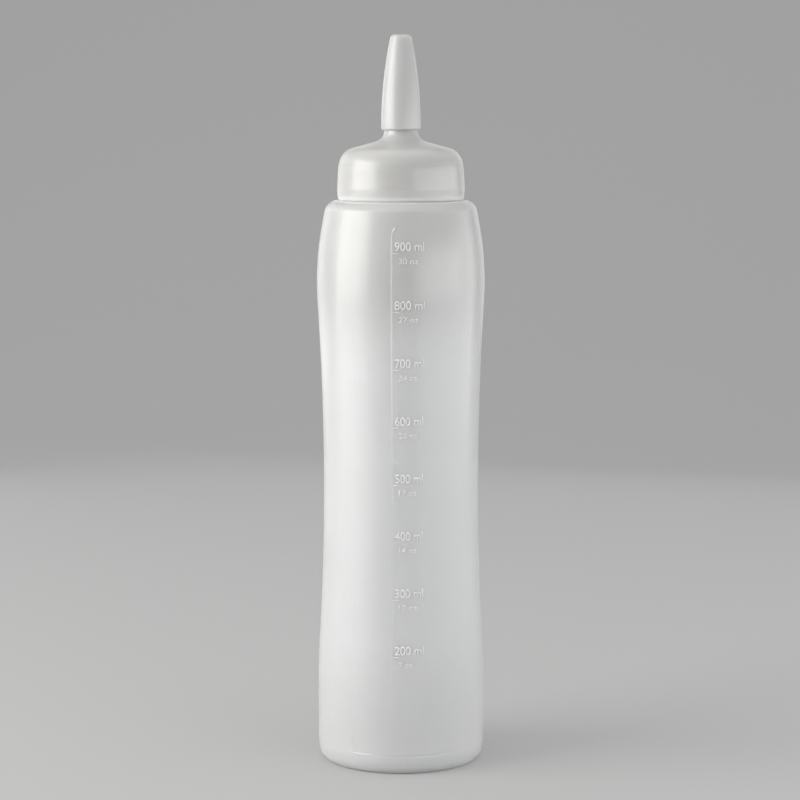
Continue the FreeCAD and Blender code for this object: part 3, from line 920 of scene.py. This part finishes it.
def make_lights():
    """Tall soft light on the left, low ones on the right, weak ones behind, a broad one above,
    and a bright room.
    """
    soft_light("left_light", bearing=-72, distance=0.9, low=0.05, high=0.85, width=0.86,
               strength=5.0, colour=(1.0, 0.995, 0.97))
    soft_light("right_light", bearing=56, distance=0.9, low=0.05, high=0.36, width=1.2,
               strength=3.6)
    soft_light("right_edge_light", bearing=105, distance=0.9, low=0.03, high=0.4, width=0.45,
               strength=2.1)
    soft_light("back_left_light", bearing=-140, distance=0.9, low=0.05, high=0.65, width=0.52,
               strength=0.8)
    soft_light("back_light", bearing=165, distance=0.9, low=0.1, high=0.7, width=0.9, strength=0.45)
    top_light(size=1.0, height=1.2, strength=0.55)
    make_room(strength=0.65, seen=0.36)


def make_camera():
    """Camera at the height of the nozzle's cover, looking slightly down along +Y."""
    side, distance, height, down = -0.0004, 1.080, 0.2956, 6.926
    camera = bpy.data.cameras.new("camera")
    camera.lens = 107.9
    camera.sensor_width = 36
    bpy.context.scene.camera = placed("camera", camera, (side, -distance, height),
                                      (math.radians(90 - down), 0, 0))


# ---- materials -------------------------------------------------------------------------------
# Every plastic here has the same surface and skin. The soft plastic of the bottle, cap and cover
# also lets a little light through and scatters light inside.
SURFACE = moulded_surface()
PLASTIC_SKIN = {"IOR": 1.51, "Coat Roughness": 0.25}
SOFT_PLASTIC = {**PLASTIC_SKIN, "Transmission Weight": 0.15, "Subsurface Weight": 1.0,
                "Subsurface Radius": (1.0, 0.95, 0.9), "Subsurface Scale": 0.005}


def bottle_plastic():
    """Blown body: the whitest plastic, with soft clouds and streaks along its height."""
    return plastic("frosted_bottle",
                   {"Colour": (0.85, 0.84, 0.825, 1), "Shade": (0.82, 0.81, 0.795, 1),
                    "Cloud Size": 26.0, "Streak": 0.35, "Frost Size": 1500.0},
                   bump_strength=0.5, uses_milk_and_painted_light=True, shader=SOFT_PLASTIC)


def cap_plastic():
    """Screw cap and nozzle: greyer, and almost without streaks."""
    return plastic("frosted_cap",
                   {"Colour": (0.56, 0.555, 0.543, 1), "Shade": (0.54, 0.535, 0.523, 1),
                    "Cloud Size": 45.0, "Streak": 0.1, "Frost Size": 1900.0},
                   bump_strength=0.35, uses_milk_and_painted_light=True, shader=SOFT_PLASTIC)


def cover_plastic():
    """Nozzle cover: of one thickness, so equally white all over, and less glossy."""
    return plastic("frosted_cover",
                   {"Colour": (0.59, 0.585, 0.575, 1), "Shade": (0.57, 0.565, 0.555, 1),
                    "Cloud Size": 60.0, "Streak": 0.25, "Frost Size": 1900.0},
                   bump_strength=0.3, uses_milk_and_painted_light=False, shader={**SOFT_PLASTIC, "Coat Weight": 0.6})


def mark_plastic():
    """Raised marks: whiter than the wall, partly as thicker plastic and partly as painted light
    for the highlights on their edges, and opaque because they are so thin.
    """
    return plastic("raised_marks",
                   # whiter than the wall: partly thicker plastic, partly painted light for the
                   # highlights on the edges
                   {"Colour": (0.88, 0.87, 0.855, 1), "Shade": (0.85, 0.84, 0.825, 1),
                    "Cloud Size": 26.0, "Streak": 0.35, "Frost Size": 1500.0},
                   bump_strength=0.3, uses_milk_and_painted_light=True, shader=PLASTIC_SKIN)


# ---- the whole -------------------------------------------------------------------------------
bpy.context.scene.view_settings.view_transform = "Standard"
make_camera()
make_lights()
make_stage()

for made, node, slot, material in (
        (make_bottle(), "bottle", "bottle_plastic", bottle_plastic()),
        (make_cap(), "cap", "cap_plastic", cap_plastic()),
        (make_cover(), "tip_cap", "cover_plastic", cover_plastic())):
    made.data.materials.append(material)
    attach(made, "root")
    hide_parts(node)

scale = make_scale()
scale.data.materials.append(mark_plastic())
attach(scale, "root")
